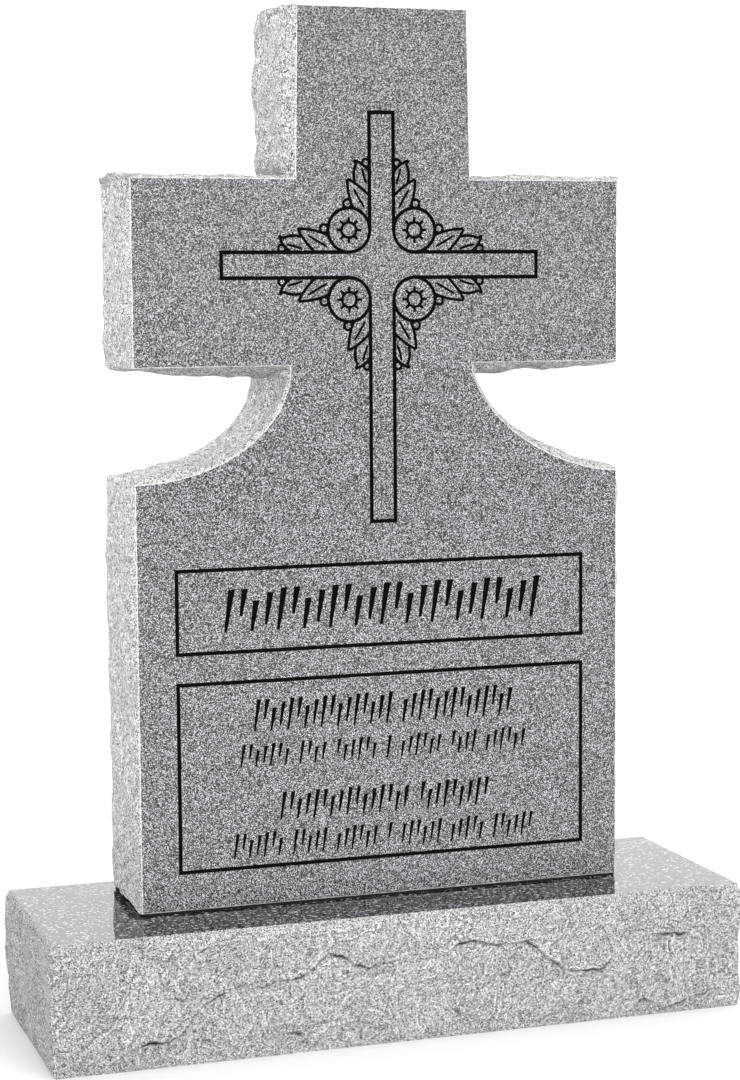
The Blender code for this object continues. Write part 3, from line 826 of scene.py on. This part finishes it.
def ledge_relief(along, below):
    """The ledges of the base's front at a place: metres outward, and how much painted shade lies in their steps."""
    outward = 0.0
    shade = 0.0
    for ledge in LEDGES:
        if not ledge[0][0] < along < ledge[-1][0]:
            continue
        places = [point[0] for point in ledge]
        line = float(np.interp(along, places, [point[1] for point in ledge]))
        step = float(np.interp(along, places, [point[2] for point in ledge]))
        for wave, height in LEDGE_WAVES:
            line += height * noise.noise(Vector((along / wave, ledge[0][0] / LEDGE_FADE, 0.0)))
        broken = noise.noise(Vector((along / LEDGE_SHADE_WAVE, ledge[0][0] / LEDGE_FADE, 1.0)))
        broken = min(1.6, max(0.0, LEDGE_SHADE_SHARE + LEDGE_SHADE_SPREAD * broken))
        step *= LEDGE_STEP_SHARE + (1.0 - LEDGE_STEP_SHARE) * broken
        above = line - below
        if above > -LEDGE_FALL:
            outward += step * smooth(1.0 + above / LEDGE_FALL) * math.exp(-max(0.0, above) / LEDGE_FADE)
        under = (above + LEDGE_FALL / 2) / LEDGE_SHADE_RUN
        shade += min(1.0, step / LEDGE_SHADE_STEP) * math.exp(-under * under) * broken
    return outward, min(1.0, shade)


def build_base(materials):
    outline = outline_points(base_runs())
    mesh = bmesh.new()
    rough_height = BASE_HEIGHT - ARRIS
    bands = round(rough_height / BASE_GRID)
    end_limit = cad_high.x - BASE_LENGTH / 2 - BASE_BULGE_LIMIT
    shades = []
    reliefs = []
    edges = []
    moves = []
    for band in range(bands + 1):
        height = rough_height * band / bands
        from_arris = min(height, rough_height - height)
        edges.append(smooth(from_arris / RELIEF_RUN))
        level = []
        heights = []
        for point, inset, offset in outline:
            place = Vector((*point, height))
            share = bulge_share(place, from_arris)
            bulge = Vector((offset.x * share * 0.0075, offset.y * share * 0.0085))
            relief = fine_relief(place, from_arris, BASE_STEP, BASE_FACETS)
            shade = 0.0
            if point.y == outline[0][0].y:
                ledge, shade = ledge_relief(point.x, BASE_HEIGHT - height)
                relief += ledge * smooth(from_arris / RELIEF_RUN)
            move = bulge + inset.normalized() * relief
            if point.x == outline[0][0].x:
                move.x = -end_limit * math.tanh((BASE_LEFT_LIFT * smooth(from_arris / RELIEF_RUN) - move.x) / end_limit)
            level.append(move)
            heights.append(relief)
            shades.append(shade)
        moves.append(level)
        reliefs.append(heights)
    limits = Vector((cad_high.x - BASE_LENGTH / 2, cad_high.y - BASE_DEPTH / 2)) - Vector((BASE_BULGE_LIMIT,) * 2)
    reach = [
        max(abs(move[axis]) for level in moves for (point, _, _), move in zip(outline, level)
            if move[axis] * point[axis] > 0 and abs(point[axis]) > size / 2 - MERGE_DISTANCE)
        for axis, size in ((0, BASE_LENGTH), (1, BASE_DEPTH))
    ]
    scale = [min(1.0, limit / most) for limit, most in zip(limits, reach)]
    loops = []
    for band, level in enumerate(moves):
        height = rough_height * band / bands
        loop = []
        for (point, _, _), move in zip(outline, level):
            loop.append(mesh.verts.new((point.x + move.x * scale[0], point.y + move.y * scale[1], height)))
        loops.append(loop)
    edge = []
    for point, inset, _ in outline:
        inner = point - inset * arris_width(Vector((*point, BASE_HEIGHT)))
        edge.append(mesh.verts.new((*inner, BASE_HEIGHT)))
    loops.append(edge)
    add_bands(mesh, loops, ())
    add_cap(mesh, loops[0], lambda place: place.xy, lambda point, depth: (*point, 0.0))
    add_cap(mesh, loops[-1], lambda place: place.xy, lambda point, depth: (*point, BASE_HEIGHT))
    piece = finish_piece("base_stone", mesh, materials, "base")
    # Painted shading: lighter on ridges, darker in hollows, and painted shade at the foot of the ledges' steps
    painted_shading = painted_shading_of(reliefs, edges)
    painted_shading -= np.array(shades).reshape(painted_shading.shape) * 2.0
    add_painted_shading(piece, 0, painted_shading)


def build_bed_and_foot_shadow(material):
    """The thin dark bed under the tablet's foot, near black so that it also stands in for the shadow there: partly
    painted shadow.
    """
    half_width = TABLET_WIDTH / 2 - BED_INSET
    mesh = bmesh.new()
    low = Vector((-half_width, tablet_low.y + BED_INSET, tablet_low.z))
    high = Vector((half_width, tablet_high.y - BED_INSET, tablet_low.z + BED_HEIGHT))
    around = ((low.x, low.y), (high.x, low.y), (high.x, high.y), (low.x, high.y))
    vertices = [mesh.verts.new((*corner, height)) for height in (low.z, high.z) for corner in around]
    mesh.faces.new(vertices[:4])
    mesh.faces.new(vertices[4:])
    for index in range(4):
        after = (index + 1) % 4
        mesh.faces.new((vertices[index], vertices[after], vertices[after + 4], vertices[index + 4]))
    bmesh.ops.recalc_face_normals(mesh, faces=mesh.faces)
    data = bpy.data.meshes.new("setting_bed_and_foot_shadow")
    mesh.to_mesh(data)
    mesh.free()
    data.materials.append(material)
    piece = bpy.data.objects.new("setting_bed_and_foot_shadow", data)
    bpy.context.scene.collection.objects.link(piece)
    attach(piece, "root")


def new_material(name):
    material = bpy.data.materials.new(name)
    material.use_nodes = True
    tree = material.node_tree
    return material, tree, tree.nodes["Principled BSDF"]


def grain_values(tree, size):
    """A random number for each grain of the stone, from a solid pattern of cells."""
    coordinates = tree.nodes.new("ShaderNodeTexCoord")
    warp = tree.nodes.new("ShaderNodeTexNoise")
    warp.inputs["Scale"].default_value = 0.35 / size
    warp.inputs["Detail"].default_value = 1.0
    tree.links.new(coordinates.outputs["Object"], warp.inputs["Vector"])
    shift = tree.nodes.new("ShaderNodeVectorMath")
    shift.operation = "MULTIPLY_ADD"
    shift.inputs[1].default_value = (1.2 * size,) * 3
    tree.links.new(warp.outputs["Color"], shift.inputs[0])
    tree.links.new(coordinates.outputs["Object"], shift.inputs[2])
    cells = tree.nodes.new("ShaderNodeTexVoronoi")
    cells.inputs["Scale"].default_value = 1.0 / size
    tree.links.new(shift.outputs["Vector"], cells.inputs["Vector"])
    split = tree.nodes.new("ShaderNodeSeparateColor")
    tree.links.new(cells.outputs["Color"], split.inputs["Color"])
    return coordinates, split


def colour_steps(tree, value, stops):
    """Grains take one of a few colours: each stop is the share of grains below it, and their colour."""
    ramp = tree.nodes.new("ShaderNodeValToRGB")
    ramp.color_ramp.interpolation = "CONSTANT"
    elements = ramp.color_ramp.elements
    while len(elements) < len(stops):
        elements.new(0.5)
    for element, (place, colour) in zip(elements, stops):
        element.position = place
        element.color = (*colour, 1.0)
    tree.links.new(value, ramp.inputs["Fac"])
    return ramp.outputs["Color"]


def tinted(value, tint):
    return tuple(value * part for part in tint)


def granite(name, size, stops, tint, roughness, bump, cloud, painted_shading=0.0):
    """Speckled granite: grains of a few colours, slow clouds of tone, uneven gloss and a grain-sized bump.

    The last number is how much lighter its ridges are painted than its flat places, and its hollows darker: painted
    light and shade.
    """
    material, tree, shader = new_material(name)
    coordinates, split = grain_values(tree, size)
    colour = colour_steps(tree, split.outputs["Red"], [(place, tinted(value, tint)) for place, value in stops])
    clouds = tree.nodes.new("ShaderNodeTexNoise")
    clouds.inputs["Scale"].default_value = 22.0
    clouds.inputs["Detail"].default_value = 4.0
    tree.links.new(coordinates.outputs["Object"], clouds.inputs["Vector"])
    level = tree.nodes.new("ShaderNodeMapRange")
    level.inputs["From Min"].default_value = 0.3
    level.inputs["From Max"].default_value = 0.7
    level.inputs["To Min"].default_value = 1.0 - cloud
    level.inputs["To Max"].default_value = 1.0 + cloud
    tree.links.new(clouds.outputs["Fac"], level.inputs["Value"])
    brightness = level.outputs["Result"]
    # Painted light and shade from the stone's attribute brighten or darken its grains
    if painted_shading:
        attribute = tree.nodes.new("ShaderNodeAttribute")
        attribute.attribute_name = "painted_shading"
        painted_shading_range = tree.nodes.new("ShaderNodeMapRange")
        painted_shading_range.inputs["From Min"].default_value = -2.0
        painted_shading_range.inputs["From Max"].default_value = 2.0
        painted_shading_range.inputs["To Min"].default_value = 1.0 - 2.0 * painted_shading
        painted_shading_range.inputs["To Max"].default_value = 1.0 + 2.0 * painted_shading
        tree.links.new(attribute.outputs["Fac"], painted_shading_range.inputs["Value"])
        product = tree.nodes.new("ShaderNodeMath")
        product.operation = "MULTIPLY"
        tree.links.new(brightness, product.inputs[0])
        tree.links.new(painted_shading_range.outputs["Result"], product.inputs[1])
        brightness = product.outputs["Value"]
    mixed = tree.nodes.new("ShaderNodeVectorMath")
    mixed.operation = "SCALE"
    tree.links.new(colour, mixed.inputs["Vector"])
    tree.links.new(brightness, mixed.inputs["Scale"])
    tree.links.new(mixed.outputs["Vector"], shader.inputs["Base Color"])
    gloss = tree.nodes.new("ShaderNodeMapRange")
    gloss.inputs["To Min"].default_value = roughness[0]
    gloss.inputs["To Max"].default_value = roughness[1]
    tree.links.new(split.outputs["Green"], gloss.inputs["Value"])
    tree.links.new(gloss.outputs["Result"], shader.inputs["Roughness"])
    relief = tree.nodes.new("ShaderNodeBump")
    relief.inputs["Strength"].default_value = bump[0]
    relief.inputs["Distance"].default_value = bump[1]
    tree.links.new(split.outputs["Blue"], relief.inputs["Height"])
    tree.links.new(relief.outputs["Normal"], shader.inputs["Normal"])
    return material


def dark_material(name, colour, roughness, size):
    """A dark coating with a fine mottle of tone and a slight bump."""
    material, tree, shader = new_material(name)
    coordinates = tree.nodes.new("ShaderNodeTexCoord")
    mottle = tree.nodes.new("ShaderNodeTexNoise")
    mottle.inputs["Scale"].default_value = 1.0 / size
    mottle.inputs["Detail"].default_value = 3.0
    tree.links.new(coordinates.outputs["Object"], mottle.inputs["Vector"])
    ramp = tree.nodes.new("ShaderNodeValToRGB")
    ramp.color_ramp.elements[0].color = (*tinted(0.6, colour), 1.0)
    ramp.color_ramp.elements[1].color = (*tinted(1.6, colour), 1.0)
    tree.links.new(mottle.outputs["Fac"], ramp.inputs["Fac"])
    tree.links.new(ramp.outputs["Color"], shader.inputs["Base Color"])
    shader.inputs["Roughness"].default_value = roughness
    shader.inputs["Specular IOR Level"].default_value = 0.02
    relief = tree.nodes.new("ShaderNodeBump")
    relief.inputs["Strength"].default_value = 0.3
    relief.inputs["Distance"].default_value = 0.0003
    tree.links.new(mottle.outputs["Fac"], relief.inputs["Height"])
    tree.links.new(relief.outputs["Normal"], shader.inputs["Normal"])
    return material


def build_floor():
    """A plain pale floor that reaches far behind the stone."""
    mesh = bmesh.new()
    bmesh.ops.create_grid(mesh, x_segments=1, y_segments=1, size=30.0)
    data = bpy.data.meshes.new("floor")
    mesh.to_mesh(data)
    mesh.free()
    material, tree, shader = new_material("pale floor")
    shader.inputs["Base Color"].default_value = (0.59, 0.59, 0.59, 1.0)
    shader.inputs["Roughness"].default_value = 0.9
    shader.inputs["Specular IOR Level"].default_value = 0.1
    data.materials.append(material)
    floor = bpy.data.objects.new("floor", data)
    bpy.context.scene.collection.objects.link(floor)


def build_light():
    """A white studio: a large soft light high in front of the stone, two low ones, and one on its left."""
    scene = bpy.context.scene
    world = bpy.data.worlds.new("studio")
    scene.world = world
    world.use_nodes = True
    tree = world.node_tree
    background = tree.nodes["Background"]
    direction = tree.nodes.new("ShaderNodeTexCoord")
    split = tree.nodes.new("ShaderNodeSeparateXYZ")
    tree.links.new(direction.outputs["Generated"], split.inputs["Vector"])
    fall = tree.nodes.new("ShaderNodeMapRange")
    fall.inputs["From Min"].default_value = 0.32
    fall.inputs["From Max"].default_value = 0.62
    fall.inputs["To Min"].default_value = 1.95
    fall.inputs["To Max"].default_value = 1.80
    tree.links.new(split.outputs["Z"], fall.inputs["Value"])
    background.inputs["Color"].default_value = (1.0, 1.0, 1.0, 1.0)
    tree.links.new(fall.outputs["Result"], background.inputs["Strength"])
    for name, place, size, energy, aim, beam in LIGHTS:
        data = bpy.data.lights.new(name, "AREA")
        data.size = size
        data.energy = energy
        data.spread = math.radians(beam)
        lamp = bpy.data.objects.new(name, data)
        lamp.visible_glossy = False
        turn = (Vector(aim) - Vector(place)).to_track_quat("-Z", "Y")
        lamp.matrix_world = Matrix.Translation(place) @ turn.to_matrix().to_4x4()
        scene.collection.objects.link(lamp)
    scene.view_settings.view_transform = "Standard"
    scene.view_settings.look = "None"


def build_camera():
    """The photograph's camera: placed, turned and rolled as its picture of the stone shows."""
    forward = Vector((
        math.sin(CAMERA_YAW) * math.cos(CAMERA_PITCH),
        math.cos(CAMERA_YAW) * math.cos(CAMERA_PITCH),
        math.sin(CAMERA_PITCH),
    ))
    level = Vector((math.cos(CAMERA_YAW), -math.sin(CAMERA_YAW), 0.0))
    upright = level.cross(forward)
    right = math.cos(CAMERA_ROLL) * level + math.sin(CAMERA_ROLL) * upright
    above = math.cos(CAMERA_ROLL) * upright - math.sin(CAMERA_ROLL) * level
    data = bpy.data.cameras.new("camera")
    data.sensor_fit = "VERTICAL"
    data.sensor_height = SENSOR_HEIGHT
    data.lens = FOCAL_PIXELS / PHOTO_HEIGHT * SENSOR_HEIGHT
    camera = bpy.data.objects.new("camera", data)
    turn = Matrix((right, above, -forward)).transposed().to_4x4()
    camera.matrix_world = Matrix.Translation(CAMERA_PLACE) @ turn
    bpy.context.scene.collection.objects.link(camera)
    bpy.context.scene.camera = camera


POLISHED_GRAINS = ((0.0, 0.002), (0.30, 0.031), (0.52, 0.129), (0.76, 0.345))
PITCHED_GRAINS = ((0.0, 0.016), (0.18, 0.235), (0.46, 0.405), (0.76, 0.595))
# The base's polished top has darker grains than the tablet's polished front: painted shade, for the dark strip in front
# of the tablet's foot
BASE_TOP_GRAINS = ((0.0, 0.002), (0.50, 0.018), (0.76, 0.070), (0.90, 0.320))
BASE_GRAINS = ((0.0, 0.030), (0.24, 0.182), (0.52, 0.305), (0.80, 0.460))
ARRIS_GRAINS = ((0.0, 0.24), (0.20, 0.42), (0.60, 0.55), (0.85, 0.66))
FRONT_TINT = (0.985, 0.985, 1.05)
PLAIN_TINT = (1.0, 1.0, 1.0)

polished = granite(
    "polished granite", POLISHED_GRAIN, POLISHED_GRAINS, FRONT_TINT, (0.06, 0.16), (0.02, 0.0001), 0.04,
)
pitched = granite(
    "pitched granite", PITCHED_GRAIN, PITCHED_GRAINS, PLAIN_TINT, (0.70, 0.95), (0.80, 0.0008), 0.05, 0.35,
)
arris = granite(
    "bruised arris", PITCHED_GRAIN, ARRIS_GRAINS, PLAIN_TINT, (0.60, 0.90), (0.30, 0.0004), 0.04,
)
paint = dark_material("black engraving paint", (0.002, 0.002, 0.0022), 0.55, 0.001)
# The bed's near-black compound is partly painted shadow at the tablet's foot
bed = dark_material("dark setting compound and painted foot shadow", (0.010, 0.010, 0.011), 0.80, 0.003)
# A darker copy of the polished granite: painted shade on the base's top
base_top = granite(
    "polished base granite with painted shade", BASE_TOP_GRAIN, BASE_TOP_GRAINS, FRONT_TINT, (0.01, 0.05), (0.01, 0.0001), 0.04,
)
base_top.node_tree.nodes["Principled BSDF"].inputs["Specular IOR Level"].default_value = BASE_TOP_GLOSS
base_pitched = granite(
    "pitched base granite", BASE_GRAIN, BASE_GRAINS, PLAIN_TINT, (0.70, 0.95), (0.70, 0.0007), 0.10, 0.50,
)
build_tablet((polished, pitched, arris, paint))
build_base((base_top, base_pitched, arris, paint))
build_bed_and_foot_shadow(bed)
build_floor()
build_light()
build_camera()
